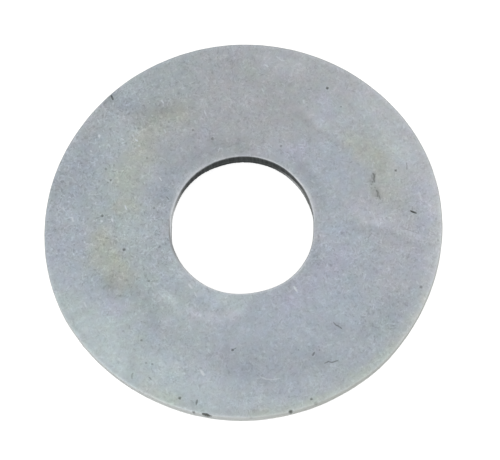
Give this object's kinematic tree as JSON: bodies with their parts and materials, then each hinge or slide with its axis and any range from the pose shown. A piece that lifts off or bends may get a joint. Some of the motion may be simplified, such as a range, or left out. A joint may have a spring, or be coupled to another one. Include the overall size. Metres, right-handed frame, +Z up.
{
  "type": "flat washer",
  "caption": "Wide flat penny washer: a thin zinc-plated steel ring that spreads a bolt head's or nut's load over a large area.",
  "frame": {"origin": "on the bore's axis, in the plane of the bottom face", "axes": "+Z up along the bore's axis, from the bottom face to the top face, whose edges are rounded from stamping; +X and +Y lie in the plane of the bottom face"},
  "size_m": [0.03, 0.03, 0.0015],
  "materials": {
    "zinc_plated_steel": "dull barrel zinc plating with a faint blue, straw and violet passivate tint, fine tumbling grain and small dings"
  },
  "bodies": {
    "root": {"flat_washer": "zinc_plated_steel"}
  },
  "joints": []
}
